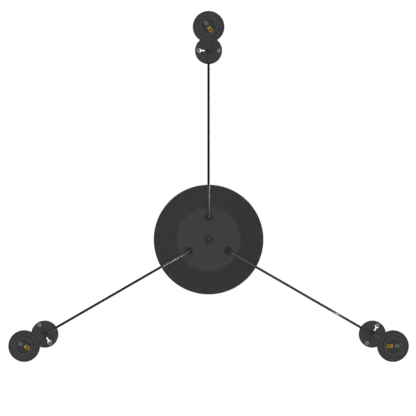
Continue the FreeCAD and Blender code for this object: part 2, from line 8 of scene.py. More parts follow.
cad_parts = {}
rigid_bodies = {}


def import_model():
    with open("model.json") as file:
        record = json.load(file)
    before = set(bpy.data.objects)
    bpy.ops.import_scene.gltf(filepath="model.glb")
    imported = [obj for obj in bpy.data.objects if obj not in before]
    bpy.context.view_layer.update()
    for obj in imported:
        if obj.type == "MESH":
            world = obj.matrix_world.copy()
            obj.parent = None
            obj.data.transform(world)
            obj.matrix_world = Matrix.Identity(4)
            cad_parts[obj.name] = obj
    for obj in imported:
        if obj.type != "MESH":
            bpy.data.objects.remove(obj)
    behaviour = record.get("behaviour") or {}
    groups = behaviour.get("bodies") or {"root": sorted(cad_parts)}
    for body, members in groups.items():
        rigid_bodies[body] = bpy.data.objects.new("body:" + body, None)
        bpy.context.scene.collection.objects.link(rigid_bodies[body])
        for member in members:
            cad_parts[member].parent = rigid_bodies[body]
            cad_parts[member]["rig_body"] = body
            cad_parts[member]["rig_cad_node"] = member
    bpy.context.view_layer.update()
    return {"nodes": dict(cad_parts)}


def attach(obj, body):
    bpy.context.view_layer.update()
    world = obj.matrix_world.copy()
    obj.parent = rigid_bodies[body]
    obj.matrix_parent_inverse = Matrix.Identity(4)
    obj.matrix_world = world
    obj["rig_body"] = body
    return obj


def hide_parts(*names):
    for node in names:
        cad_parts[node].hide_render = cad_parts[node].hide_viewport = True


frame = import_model()
nodes = frame["nodes"]
print("frame loaded:", len(nodes), "nodes")

# New pieces are modelled in millimetres around the origin, then sized to metres and put in place.
mm = 0.001
# Millimetres: how near counts as the same place, what is merged, how far a cutter runs past
tolerance = {"same": 0.01, "merge": 0.002, "cutOver": 2}

# Each arm's turn about the canopy, and its lampholder's own turn, in degrees
arms = {
    "a": {"turn": 30, "headTurn": 150},
    "b": {"turn": 150, "headTurn": -121},
    "c": {"turn": 270, "headTurn": 147},
}
anchorOut = 413.7
headHeight = -1000.0


def feed(tree, socket, value):
    if isinstance(value, Wire):
        tree.links.new(value.socket, socket)
    else:
        socket.default_value = value


class Wire:
    # An output socket that takes part in plain sums
    def __init__(self, tree, socket):
        self.tree = tree
        self.socket = socket

    def sum(self, operation, first, second):
        node = self.tree.nodes.new("ShaderNodeMath")
        node.operation = operation
        feed(self.tree, node.inputs[0], first)
        feed(self.tree, node.inputs[1], second)
        return Wire(self.tree, node.outputs[0])

    def __add__(self, other):
        return self.sum("ADD", self, other)

    def __radd__(self, other):
        return self.sum("ADD", other, self)

    def __sub__(self, other):
        return self.sum("SUBTRACT", self, other)

    def __mul__(self, other):
        return self.sum("MULTIPLY", self, other)


# The noise behind every finish, and the stops between which it goes from dark to light
pattern = {
    "grainDetail": 2, "cloudDetail": 3, "roughness": 0.55, "darkStop": 0.36, "lightStop": 0.66,
}


class Finish:
    # A material with its shader, and one way to add any other node
    def __init__(self, name):
        self.material = bpy.data.materials.new(name)
        self.material.use_nodes = True
        self.tree = self.material.node_tree
        self.shader = self.tree.nodes["Principled BSDF"]

    def add(self, kind, settings, sockets, out=0):
        node = self.tree.nodes.new("ShaderNode" + kind)
        for name, value in settings.items():
            if name == "stops":
                for stop, (place, shade) in zip(node.color_ramp.elements, value):
                    stop.position = place
                    stop.color = (shade, shade, shade, 1)
            else:
                setattr(node, name, value)
        for name, value in sockets.items():
            feed(self.tree, node.inputs[name], value)
        return Wire(self.tree, node.outputs[out])

    def place(self, stretch=(1, 1, 1), shift=(0, 0, 0)):
        where = self.add("TexCoord", {}, {}, "Object")
        return self.add("Mapping", {}, {"Vector": where, "Scale": stretch, "Location": shift})

    def noise(self, scale, detail):
        return self.add("TexNoise", {}, {
            "Vector": self.place(), "Scale": scale, "Detail": detail,
            "Roughness": pattern["roughness"]})

    def blend(self, share, first, second):
        # Mixes two colours, each of them a wire or three numbers
        first, second = (
            colour if isinstance(colour, Wire) else (*colour, 1) for colour in (first, second))
        return self.add("Mix", {"data_type": "RGBA"}, {0: share, 6: first, 7: second}, 2)

    def set(self, **sockets):
        for name, value in sockets.items():
            feed(self.tree, self.shader.inputs[name], value)

    def bump(self, height, depth):
        normal = self.add("Bump", {}, {"Height": height, "Distance": depth})
        feed(self.tree, self.shader.inputs["Normal"], normal)


# dark and light are the two colours between which a finish varies, cloud and grain the fineness
# of its two patterns per metre, and depth the grain's height in metres.
finishSettings = {
    "blackPaint": {
        "dark": (0.0345, 0.0345, 0.0355), "light": (0.041, 0.041, 0.042),
        "cloud": 60, "rough": 0.52, "roughSpread": 0.08, "grain": 900, "depth": 0.00004,
        "metal": 0.0, "gloss": 0.06},
    "nutPaint": {
        "dark": (0.030, 0.030, 0.031), "light": (0.040, 0.040, 0.041),
        "cloud": 120, "rough": 0.42, "roughSpread": 0.08, "grain": 1200, "depth": 0.00003,
        "metal": 0.0, "gloss": 0.1},
    "blackPlastic": {
        "dark": (0.0315, 0.0315, 0.0325), "light": (0.038, 0.038, 0.039),
        "cloud": 90, "rough": 0.5, "roughSpread": 0.1, "grain": 2600, "depth": 0.00002,
        "metal": 0.0, "gloss": 0.05},
    "glandPlastic": {
        "dark": (0.018, 0.018, 0.0185), "light": (0.023, 0.023, 0.0235),
        "cloud": 140, "rough": 0.5, "roughSpread": 0.1, "grain": 2400, "depth": 0.00002,
        "metal": 0.0, "gloss": 0.06},
    "greyPlastic": {
        "dark": (0.028, 0.028, 0.029), "light": (0.037, 0.037, 0.038),
        "cloud": 150, "rough": 0.55, "roughSpread": 0.12, "grain": 2200, "depth": 0.00003,
        "metal": 0.0, "gloss": 0.06},
    "cableSheath": {
        "dark": (0.004, 0.004, 0.0045), "light": (0.006, 0.006, 0.0065),
        "cloud": 120, "rough": 0.3, "roughSpread": 0.08, "grain": 700, "depth": 0.00001,
        "metal": 0.0, "gloss": 0.1},
    # The drop cable's sheath is painted paler than the swagged one's, as painted light; it is the
    # same cable
    "dropSheath": {
        "dark": (0.036, 0.036, 0.0365), "light": (0.048, 0.048, 0.0485),
        "cloud": 120, "rough": 0.8, "roughSpread": 0.08, "grain": 700, "depth": 0.00003,
        "metal": 0.0, "gloss": 0.05},
    "zincSteel": {
        "dark": (0.092, 0.093, 0.096), "light": (0.148, 0.149, 0.151),
        "cloud": 420, "rough": 0.58, "roughSpread": 0.12, "grain": 1800, "depth": 0.00002,
        "metal": 0.8, "gloss": 0.3},
    "floorSteel": {
        "dark": (0.065, 0.062, 0.076), "light": (0.11, 0.105, 0.128),
        "cloud": 520, "rough": 0.62, "roughSpread": 0.14, "grain": 2000, "depth": 0.00002,
        "metal": 0.8, "gloss": 0.3},
    "brass": {
        "dark": (0.195, 0.112, 0.014), "light": (0.252, 0.15, 0.023),
        "cloud": 300, "rough": 0.6, "roughSpread": 0.12, "grain": 1500, "depth": 0.00002,
        "metal": 0.6, "gloss": 0.3},
    # The side strip's brass is darker, partly tarnish and partly painted shade
    "oldBrass": {
        "dark": (0.058, 0.052, 0.028), "light": (0.098, 0.088, 0.052),
        "cloud": 350, "rough": 0.6, "roughSpread": 0.16, "grain": 1500, "depth": 0.00003,
        "metal": 0.7, "gloss": 0.3},
    "bronzeRivet": {
        "dark": (0.05, 0.013, 0.001), "light": (0.075, 0.021, 0.002),
        "cloud": 700, "rough": 0.8, "roughSpread": 0.16, "grain": 2000, "depth": 0.00003,
        "metal": 0.0, "gloss": 0.05},
    # A dark, unmetallic colour for the screws' cross recesses: painted shade
    "recessSteel": {
        "dark": (0.034, 0.034, 0.035), "light": (0.05, 0.05, 0.052),
        "cloud": 700, "rough": 0.8, "roughSpread": 0.16, "grain": 2000, "depth": 0.00003,
        "metal": 0.0, "gloss": 0.05},
    "clearPlastic": {
        "dark": (0.60, 0.61, 0.58), "light": (0.72, 0.73, 0.69),
        "cloud": 130, "rough": 0.34, "roughSpread": 0.1, "grain": 900, "depth": 0.00004,
        "metal": 0.0, "gloss": 0.5},
    "brownCore": {
        "dark": (0.085, 0.03, 0.012), "light": (0.12, 0.045, 0.02),
        "cloud": 200, "rough": 0.3, "roughSpread": 0.08, "grain": 900, "depth": 0.00002,
        "metal": 0.0, "gloss": 0.5},
    "blueCore": {
        "dark": (0.012, 0.06, 0.26), "light": (0.02, 0.085, 0.33),
        "cloud": 200, "rough": 0.3, "roughSpread": 0.08, "grain": 900, "depth": 0.00002,
        "metal": 0.0, "gloss": 0.5},
}


def fadeIn(finish, bands, centre):
    # Grows from 0 to 1 across each band of distances from an upright line
    flat = finish.place((1, 1, 0), (-centre[0], -centre[1], 0))
    away = finish.add("VectorMath", {"operation": "LENGTH"}, {0: flat}, 1)
    share = 0.0
    for start, end in bands:
        share = share + finish.add("MapRange", {"clamp": True}, {
            "Value": away, "From Min": start, "From Max": end, "To Min": 0.0, "To Max": 1.0})
    return share


def makeFinish(name, look, other=None, bands=(), centre=(0, 0)):
    # A look that takes another one's colours across the bands, and turns matt across mattBands
    finish = Finish(name)
    cloud = finish.noise(look["cloud"], pattern["cloudDetail"])
    stops = [(pattern["darkStop"], 0.0), (pattern["lightStop"], 1.0)]
    share = finish.add("ValToRGB", {"stops": stops}, {"Fac": cloud})
    colour = finish.blend(share, look["dark"], look["light"])
    if other:
        otherColour = finish.blend(share, other["dark"], other["light"])
        colour = finish.blend(fadeIn(finish, bands, centre), colour, otherColour)
    rough = look["rough"]
    if "mattBands" in look:
        rough = rough + fadeIn(finish, look["mattBands"], centre) * look["mattRough"]
    finish.set(**{
        "Base Color": colour,
        "Roughness": rough + (cloud - 0.5) * look["roughSpread"] * 2,
        "Metallic": look["metal"],
        "Specular IOR Level": look["gloss"]})
    finish.bump(finish.noise(look["grain"], pattern["grainDetail"]), look["depth"])
    return finish.material


finishes = {name: makeFinish(name, look) for name, look in finishSettings.items()}

# Where a finish changes, much of it painted light and shade: a swagged cable is painted paler at
# both ends, partly dust and partly painted sheen, and is matt on both sides of one glossy stretch;
# a holder is painted lighter inside its mouth, a barrel inside its hole, a shade ring next to the
# barrel and the socket's floor along its edge, all painted light where shade falls; the tongue is
# brighter at its tip, partly wear and partly a painted highlight; and the strip opposite it is
# plated at its inner end. Bands are distances in metres from the canopy's axis for the cables,
# and from the anchor's axis for the rest.
dustAndSheen = {"dark": (0.037, 0.037, 0.038), "light": (0.046, 0.046, 0.047)}
wearAndHighlight = {"dark": (0.64, 0.40, 0.072), "light": (0.80, 0.52, 0.11)}
mouthPaintedLight = {"dark": (0.095, 0.095, 0.096), "light": (0.115, 0.115, 0.116)}
holePaintedLight = {"dark": (0.055, 0.055, 0.056), "light": (0.066, 0.066, 0.067)}
ringPaintedLight = {"dark": (0.041, 0.041, 0.042), "light": (0.048, 0.048, 0.049)}
floorEdgePaintedLight = {"dark": (0.038, 0.038, 0.039), "light": (0.048, 0.048, 0.049)}
bands = {
    "dustAndSheen": [(0.124, 0.112), (0.383, 0.389)], "mouthPaintedLight": [(0.0056, 0.0048)],
    "wearAndHighlight": [(0.0058, 0.0033)], "plated": [(0.0097, 0.0091)], "holePaintedLight": [(0.0144, 0.0140)],
    "ringPaintedLight": [(0.0232, 0.0222)], "floorLightFade": [(0.0130, 0.0085)]}
matt = {"rough": 0.7, "bands": {
    "a": [(0.322, 0.304), (0.325, 0.343)],
    "b": [(0.072, 0.058), (0.112, 0.124)],
    "c": [(0.102, 0.060), (0.114, 0.124)]}}
for arm in arms:
    finishes["swagSheath_" + arm] = makeFinish("swagSheath_" + arm, {
        **finishSettings["cableSheath"], "mattBands": matt["bands"][arm],
        "mattRough": matt["rough"]}, dustAndSheen, bands["dustAndSheen"])
    turn = math.radians(arms[arm]["turn"])
    axis = (anchorOut * mm * math.cos(turn), anchorOut * mm * math.sin(turn))
    finishes["cable_holder_" + arm] = makeFinish(
        "holderPaint_" + arm, finishSettings["blackPaint"], mouthPaintedLight, bands["mouthPaintedLight"], axis)
    finishes["barrel_" + arm] = makeFinish(
        "barrelPlastic_" + arm, finishSettings["blackPlastic"], holePaintedLight, bands["holePaintedLight"], axis)
    finishes["shade_ring_" + arm] = makeFinish(
        "ringPlastic_" + arm, finishSettings["blackPlastic"], ringPaintedLight, bands["ringPaintedLight"], axis)
    finishes["contact_block_" + arm] = makeFinish(
        "floorPlastic_" + arm, {**finishSettings["greyPlastic"], **floorEdgePaintedLight},
        finishSettings["greyPlastic"], bands["floorLightFade"], axis)
    finishes["centre_contact_" + arm] = makeFinish(
        "tongueBrass_" + arm, finishSettings["brass"], wearAndHighlight, bands["wearAndHighlight"], axis)
    finishes["side_contact_" + arm] = makeFinish(
        "stripBrass_" + arm, finishSettings["oldBrass"], finishSettings["floorSteel"],
        bands["plated"], axis)
print("finishes made:", len(finishes))


def clearSelection():
    if bpy.context.object and bpy.context.object.mode != "OBJECT":
        bpy.ops.object.mode_set(mode="OBJECT")
    bpy.ops.object.select_all(action="DESELECT")


def only(piece):
    clearSelection()
    piece.select_set(True)
    bpy.context.view_layer.objects.active = piece


def edit(piece, mode="EDGE"):
    only(piece)
    bpy.ops.object.mode_set(mode="EDIT")
    bpy.ops.mesh.select_mode(type=mode)
    bpy.ops.mesh.select_all(action="DESELECT")


def done():
    bpy.ops.object.mode_set(mode="OBJECT")


def pick(piece, kind, wanted):
    # Selects the open mesh's "verts", "edges" or "faces" for which wanted is true
    mesh = bmesh.from_edit_mesh(piece.data)
    for part in getattr(mesh, kind):
        if wanted(part):
            part.select_set(True)
    mesh.select_flush_mode()
    bmesh.update_edit_mesh(piece.data)


def onRing(radius, height):
    def check(edge):
        return all(abs(v.co.xy.length - radius) < tolerance["same"]
                   and abs(v.co.z - height) < tolerance["same"] for v in edge.verts)
    return check


def tidyMesh(piece):
    edit(piece)
    bpy.ops.mesh.select_all(action="SELECT")
    bpy.ops.mesh.remove_doubles(threshold=tolerance["merge"])
    bpy.ops.mesh.normals_make_consistent(inside=False)
    done()


def smooth(piece, degrees=32):
    # Shades smooth, with edges sharper than this kept crisp
    only(piece)
    bpy.ops.object.shade_smooth_by_angle(angle=math.radians(degrees))


def named(name):
    piece = bpy.context.object
    piece.name = piece.data.name = name
    return piece


longestRound = 0.48


def turned(name, rings, sides, solid=True, roundSteps=5):
    # A turned piece along rings of (radius, height) or (radius, height, rounding).
    # A solid one ends in flat faces; otherwise its last ring joins its first.
    # A rounding takes less than half of the shorter side next to it.
    clearSelection()
    radius, height = rings[0][:2]
    bpy.ops.mesh.primitive_circle_add(vertices=sides, radius=radius, location=(0, 0, height))
    piece = named(name)
    bpy.ops.object.transform_apply(location=True)
    edit(piece)
    bpy.ops.mesh.select_all(action="SELECT")
    route = rings[1:] if solid else rings[1:] + rings[:1]
    for ring in route:
        bpy.ops.mesh.extrude_region_move(
            TRANSFORM_OT_translate={"value": (0, 0, ring[1] - height)})
        scale = ring[0] / radius
        bpy.ops.transform.resize(value=(scale, scale, 1), center_override=(0, 0, ring[1]))
        radius, height = ring[:2]
    if solid:
        bpy.ops.mesh.edge_face_add()
        bpy.ops.mesh.select_all(action="DESELECT")
        bpy.ops.mesh.select_mode(type="EDGE")
        pick(piece, "edges", onRing(*rings[0][:2]))
        bpy.ops.mesh.edge_face_add()
    tidyMesh(piece)
    for i, ring in enumerate(rings):
        if len(ring) == 3:
            here = Vector(ring[:2])
            before, after = rings[i - 1], rings[(i + 1) % len(rings)]
            if solid and i == 0:
                before = (0, ring[1])
            if solid and i == len(rings) - 1:
                after = (0, ring[1])
            back, ahead = Vector(before[:2]) - here, Vector(after[:2]) - here
            reach = ring[2] / math.tan(back.angle(ahead) / 2)
            reach = min(reach, longestRound * min(back.length, ahead.length))
            edit(piece)
            pick(piece, "edges", onRing(*ring[:2]))
            bpy.ops.mesh.bevel(offset=reach, segments=roundSteps, affect="EDGES")
            done()
    return piece


def cylinder(radius, start, end, sides=32):
    # A cutter or a core between two points
    start, end = Vector(start), Vector(end)
    clearSelection()
    bpy.ops.mesh.primitive_cylinder_add(
        vertices=sides, radius=radius, depth=(end - start).length, location=(start + end) / 2,
        rotation=(end - start).to_track_quat("Z", "Y").to_euler())
    bpy.ops.object.transform_apply()
    return bpy.context.object


def block(low, high):
    low, high = Vector(low), Vector(high)
    clearSelection()
    bpy.ops.mesh.primitive_cube_add(size=1, location=(low + high) / 2, scale=high - low)
    bpy.ops.object.transform_apply()
    return bpy.context.object


def applied(piece, kind, **settings):
    # A modifier of this kind, put to work at once
    only(piece)
    modifier = piece.modifiers.new(kind.lower(), kind)
    for name, value in settings.items():
        setattr(modifier, name, value)
    bpy.ops.object.modifier_apply(modifier=modifier.name)


def cut(piece, *cutters):
    for cutter in cutters:
        applied(piece, "BOOLEAN", operation="DIFFERENCE", solver="EXACT", object=cutter)
        bpy.data.objects.remove(cutter)


def joined(piece, *others):
    only(piece)
    for other in others:
        other.select_set(True)
    bpy.ops.object.join()
    return piece


def ridge(thread):
    # A thread's ridge: a rounded section screwed up from low to high, with closed ends
    clearSelection()
    turns = (thread["high"] - thread["low"]) / thread["pitch"]
    bpy.ops.mesh.primitive_circle_add(
        vertices=thread["sectionSides"], radius=1, rotation=(math.pi / 2, 0, 0),
        location=(thread["middleR"], 0, thread["low"]),
        scale=(thread["halfDepth"], thread["halfWidth"], 1))
    piece = named("ridge")
    bpy.ops.object.transform_apply()
    applied(piece, "SCREW", axis="Z", angle=math.tau * turns,
            screw_offset=thread["high"] - thread["low"], iterations=1,
            steps=round(thread["steps"] * turns), render_steps=round(thread["steps"] * turns))
    edit(piece)
    bpy.ops.mesh.select_non_manifold()
    bpy.ops.mesh.fill_holes(sides=0)
    bpy.ops.mesh.select_all(action="SELECT")
    bpy.ops.mesh.normals_make_consistent(inside=False)
    done()
    return piece


def onArm(arm, out=0.0, height=0.0, ownTurn=0.0):
    # Where something modelled around the origin goes on one arm, in metres
    return (Matrix.Rotation(math.radians(arms[arm]["turn"]), 4, "Z")
            @ Matrix.Translation((out * mm, 0, height * mm))
            @ Matrix.Rotation(math.radians(ownTurn), 4, "Z") @ Matrix.Scale(mm, 4))


def headPlace(arm):
    return onArm(arm, anchorOut, headHeight, arms[arm]["headTurn"])


def put(piece, name, place, finish, slot, body, *cadNodes):
    # A copy of a modelled piece, in its place, on its body, instead of its CAD nodes
    copy = piece.copy()
    copy.data = piece.data.copy()
    copy.name = copy.data.name = name
    bpy.context.scene.collection.objects.link(copy)
    copy.data.transform(place)
    if finish:
        copy.data.materials.clear()
        copy.data.materials.append(finishes[finish])
    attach(copy, body)
    if cadNodes:
        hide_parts(*cadNodes)
    return copy


def discard(*pieces):
    for piece in pieces:
        bpy.data.objects.remove(piece)


cable = {
    "radius": 2.6, "swagLength": 0.395, "dropLength": 0.928,
    "aroundSteps": 8, "alongSteps": 16, "curveOrder": 3,
    # Distance out from the canopy's axis, and height
    "swagRoute": [
        (49.0, -66.0), (49.0, -74.0), (52.1, -81.4), (57.7, -87.1), (66.0, -90.6),
        (79.9, -92.0), (105.9, -90.7), (153.4, -84.0), (221.6, -68.3), (290.3, -46.6),
        (346.5, -25.6), (375.2, -16.9), (391.5, -13.9), (402.0, -13.0), (413.7, -13.0),
        (413.7, -19.4)],
    "dropRoute": [(413.7, -22.3), (413.7, -330.0), (413.7, -640.0), (413.7, -950.7)],
}


def makeCable(name, arm, route, finish, body, node):
    line = bpy.data.curves.new(name, "CURVE")
    line.dimensions = "3D"
    line.bevel_depth = cable["radius"] * mm
    line.bevel_resolution = cable["aroundSteps"]
    line.resolution_u = cable["alongSteps"]
    line.use_fill_caps = True
    spline = line.splines.new("NURBS")
    spline.points.add(len(route) - 1)
    place = onArm(arm)
    ends = [place @ Vector((out, 0, height)) for out, height in route]
    for point, end in zip(spline.points, ends):
        point.co = (*end, 1)
    spline.order_u = cable["curveOrder"]
    spline.use_endpoint_u = True
    piece = bpy.data.objects.new(name, line)
    bpy.context.scene.collection.objects.link(piece)
    line.materials.append(finishes[finish])
    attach(piece, body)
    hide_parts(node)


for arm in arms:
    makeCable("swagCable_" + arm, arm, cable["swagRoute"],
              "swagSheath_" + arm, "ceiling_part", "swag_cable_" + arm)
    makeCable("dropCable_" + arm, arm, cable["dropRoute"], "dropSheath",
              "drop_" + arm, "drop_cable_" + arm)
print("cables laid:", 2 * len(arms))


canopy = {
    "sides": 256, "outerR": 120.0, "faceR": 70.4, "height": 50.0, "lip": 5.0, "wall": 1.2,
    "edgeRound": 8.0, "shoulderRound": 2.0, "innerShoulderRound": 1.2, "roundSteps": 10,
    "studHoleR": 3.3, "faceInset": 0.461, "lipInset": 0.534,
}


def makeCanopy():
    faceZ = -canopy["height"]
    innerR = canopy["outerR"] - canopy["wall"]
    shell = turned("canopyShell", [
        (canopy["studHoleR"], faceZ),
        (canopy["faceR"], faceZ, canopy["edgeRound"]),
        (canopy["outerR"], -canopy["lip"], canopy["shoulderRound"]),
        (canopy["outerR"], 0),
        (innerR, 0),
        (innerR, -canopy["lip"] - canopy["lipInset"], canopy["innerShoulderRound"]),
        (canopy["faceR"] - canopy["faceInset"], faceZ + canopy["wall"],
         canopy["edgeRound"] - canopy["wall"]),
        (canopy["studHoleR"], faceZ + canopy["wall"]),
    ], canopy["sides"], solid=False, roundSteps=canopy["roundSteps"])
    smooth(shell)
    put(shell, "canopy", Matrix.Scale(mm, 4), "blackPaint", "black_steel", "ceiling_part",
        "ceiling_canopy")
    discard(shell)


domeNut = {
    "radius": 8.75, "topR": 1.6, "faceZ": -50.0, "rimZ": -53.0, "endZ": -60.0, "rimRound": 0.3,
    "bulge": 0.5, "steps": 10, "sides": 96,
}


def makeDomeNut():
    # Its dome swells by the bulge halfway between rim and end
    fall = domeNut["rimZ"] - domeNut["endZ"]
    rings = [(domeNut["radius"], domeNut["faceZ"], domeNut["rimRound"])]
    for step in range(domeNut["steps"] + 1):
        share = step / domeNut["steps"]
        bulge = 4 * share * (1 - share) * domeNut["bulge"]
        rings.append((domeNut["radius"] + (domeNut["topR"] - domeNut["radius"]) * share + bulge,
                      domeNut["rimZ"] - fall * share - bulge))
    nut = turned("nut", rings, domeNut["sides"])
    smooth(nut)
    put(nut, "canopyDomeNut", Matrix.Scale(mm, 4), "nutPaint", "black_steel", "ceiling_part",
        "cap_nut")
    discard(nut)


makeCanopy()
makeDomeNut()
print("canopy made")


gland = {
    "out": 49.0, "faceZ": -50.0, "sides": 72,
    "boreR": 2.75, "stemR": 5.0, "stemTop": 10.2, "collarR": 8.0, "collarH": 3.0,
    "bodyR": 6.5, "height": 16.0, "mouthR": 3.3, "mouthH": 3.0, "edge": 1.2, "mouthRound": 0.4,
    "screwZ": -8.5, "screwHoleR": 1.55, "screwHoleSpan": (3.5, 12),
}


def makeGlands():
    body = turned("gland", [
        (gland["boreR"], gland["stemTop"]),
        (gland["stemR"], gland["stemTop"]),
        (gland["stemR"], 0),
        (gland["collarR"], 0),
        (gland["collarR"], -gland["collarH"], gland["edge"]),
        (gland["bodyR"], -gland["collarH"]),
        (gland["bodyR"], -gland["height"], gland["edge"]),
        (gland["mouthR"], -gland["height"], gland["mouthRound"]),
        (gland["boreR"], -gland["height"] + gland["mouthH"]),
    ], gland["sides"], solid=False)
    start, end = ((0, y, gland["screwZ"]) for y in gland["screwHoleSpan"])
    cut(body, cylinder(gland["screwHoleR"], start, end))
    smooth(body)
    for arm in arms:
        put(body, "gland_" + arm, onArm(arm, gland["out"], gland["faceZ"]), "glandPlastic",
            "black_plastic", "ceiling_part", "cable_gland_" + arm)
    discard(body)


makeGlands()
print("glands made")


anchor = {
    "radius": 29.75, "thickness": 3.0, "edge": 1.0, "backEdge": 0.2, "sides": 160, "holeSides": 48,
    "keyholeY": -20.2, "keyholeR": 4.4, "slotHalf": 1.5, "slotInnerY": -9.75,
    "shankHalf": 1.65, "slotOuterY": -23.0, "plainY": 22.8, "plainR": 1.9, "holderScrewR": 2.1,
    "sinkR": 3.9, "sinkDepth": 2.2,
}


def makeAnchorPlates():
    plate = turned("plate", [
        (anchor["radius"], 0, anchor["backEdge"]),
        (anchor["radius"], -anchor["thickness"], anchor["edge"]),
    ], anchor["sides"])
    half = anchor["slotHalf"]
    low, high = -anchor["thickness"] - tolerance["cutOver"], tolerance["cutOver"]
    holes = [
        (anchor["keyholeR"], anchor["keyholeY"]), (half, anchor["slotInnerY"]),
        (anchor["shankHalf"], anchor["slotOuterY"]), (anchor["plainR"], anchor["plainY"]),
        (anchor["holderScrewR"], 0)]
    for radius, y in holes:
        cut(plate, cylinder(radius, (0, y, low), (0, y, high), anchor["holeSides"]))
    cut(plate, block((-half, anchor["keyholeY"], low), (half, anchor["slotInnerY"], high)),
        block((-anchor["shankHalf"], anchor["slotOuterY"], low),
              (anchor["shankHalf"], anchor["keyholeY"], high)),
        cylinder(anchor["sinkR"], (0, 0, -anchor["sinkDepth"]), (0, 0, high)))
    smooth(plate)
    for arm in arms:
        put(plate, "anchorPlate_" + arm, onArm(arm, anchorOut), "blackPaint", "black_steel",
            "ceiling_part", "anchor_plate_" + arm)
    discard(plate)


woodScrew = {
    "headR": 4.5, "headH": 2.4, "headRound": 1.3, "neckR": 1.5, "coreR": 1.02, "length": 27.0,
    "tipLength": 4.0, "tipR": 0.15, "plainLength": 6.0, "neckTaper": 0.6, "sides": 48,
    "crossLength": 4.0, "crossWidth": 1.0, "crossDepth": 1.4, "crossWallTop": -0.5,
    "crossWallSlope": 0.2,
    "thread": {"middleR": 1.02, "halfDepth": 0.47, "halfWidth": 0.42, "low": 6.5, "high": 22.6,
               "pitch": 1.6, "steps": 28, "sectionSides": 4},
}
# Distance from the plate's middle, and the turn of the cross in degrees
screwPlaces = [(-23.0, 20), (22.8, 65)]


def makeAnchorScrews():
    screw = turned("screw", [
        (woodScrew["headR"], -woodScrew["headH"], woodScrew["headRound"]),
        (woodScrew["headR"], 0),
        (woodScrew["neckR"], 0),
        (woodScrew["neckR"], woodScrew["plainLength"] - woodScrew["neckTaper"]),
        (woodScrew["coreR"], woodScrew["plainLength"]),
        (woodScrew["coreR"], woodScrew["length"] - woodScrew["tipLength"]),
        (woodScrew["tipR"], woodScrew["length"]),
    ], woodScrew["sides"])
    half, wide = woodScrew["crossLength"] / 2, woodScrew["crossWidth"] / 2
    low = -woodScrew["headH"] - tolerance["cutOver"]
    deep = -woodScrew["headH"] + woodScrew["crossDepth"]
    cut(screw, block((-half, -wide, low), (half, wide, deep)),
        block((-wide, -half, low), (wide, half, deep)))
    screw.data.materials.append(finishes["zincSteel"])
    screw.data.materials.append(finishes["recessSteel"])
    for face in screw.data.polygons:
        # The cross recess, its floor and its upright walls in the head, painted dark as shade
        spot = face.center
        inside = max(abs(v) for v in spot.xy) < half + tolerance["same"]
        upright = abs(face.normal.z) < woodScrew["crossWallSlope"]
        wall = inside and upright and spot.z < woodScrew["crossWallTop"]
        if abs(spot.z - deep) < tolerance["same"] or wall:
            face.material_index = 1
    screw = joined(screw, ridge(woodScrew["thread"]))
    smooth(screw)
    copies = []
    for arm in arms:
        for y, twist in screwPlaces:
            place = (onArm(arm, anchorOut) @ Matrix.Translation((0, y, -anchor["thickness"]))
                     @ Matrix.Rotation(math.radians(twist), 4, "Z"))
            copies.append(put(screw, "anchorScrew", place, None, "zinc_steel", "ceiling_part"))
    screws = joined(copies[0], *copies[1:])
    screws.name = screws.data.name = "anchorScrews"
    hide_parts("anchor_screws")
    discard(screw)


holder = {
    "radius": 7.0, "topZ": -3.0, "mouthZ": -26.0, "edge": 1.2, "bellR": 5.5, "bellZ": -20.8,
    "bellRound": 0.3, "boreR": 2.75, "entryZ": -13.0, "entrySpan": (-12, -2), "boreTopZ": -10.0,
    "grubX": -4.0, "grubHoleR": 1.55, "grubSpan": (2, 12), "sides": 72,
}


def makeHolders():
    body = turned("holder", [
        (holder["radius"], holder["topZ"]),
        (holder["radius"], holder["mouthZ"], holder["edge"]),
        (holder["bellR"], holder["mouthZ"], holder["bellRound"]),
        (holder["boreR"], holder["bellZ"]),
        (holder["boreR"], holder["boreTopZ"]),
    ], holder["sides"])
    entry = ((x, 0, holder["entryZ"]) for x in holder["entrySpan"])
    grubHole = ((holder["grubX"], y, holder["entryZ"]) for y in holder["grubSpan"])
    cut(body, cylinder(holder["boreR"], *entry), cylinder(holder["grubHoleR"], *grubHole))
    smooth(body)
    for arm in arms:
        put(body, "holder_" + arm, onArm(arm, anchorOut), "cable_holder_" + arm, "black_steel",
            "ceiling_part", "cable_holder_" + arm)
    discard(body)


makeAnchorPlates()
makeAnchorScrews()
makeHolders()
print("anchors made")


barrel = {
    "sides": 144, "outerR": 20.0, "rootR": 19.15, "upperR": 19.4, "mouthZ": -25.0, "stepZ": -0.5,
    "topZ": 13.0, "rimH": 2.2, "rimSlopeH": 0.8, "stepRimH": 1.0, "stepSlopeH": 0.6,
    "mouthRound": 1.6, "rimRound": 0.3, "stepRound": 0.2, "spigotR": 18.2, "spigotZ": 17.0,
    "spigotRound": 0.3, "cavityR": 17.5, "floorZ": 2.0, "socketR": 13.35, "socketRootR": 14.2,
    "lipH": 0.9, "lipSlopeH": 0.5, "chamfer": 0.6, "chamferRound": 0.25,
    "innerThread": {"middleR": 14.45, "halfDepth": 1.1, "halfWidth": 1.25, "low": -22.6,
                    "high": -9.9, "pitch": 3.63, "steps": 96, "sectionSides": 14},
    "outerThread": {"middleR": 19.1, "halfDepth": 0.88, "halfWidth": 0.95, "low": -21.4,
                    "high": -3.4, "pitch": 2.8, "steps": 96, "sectionSides": 10},
}


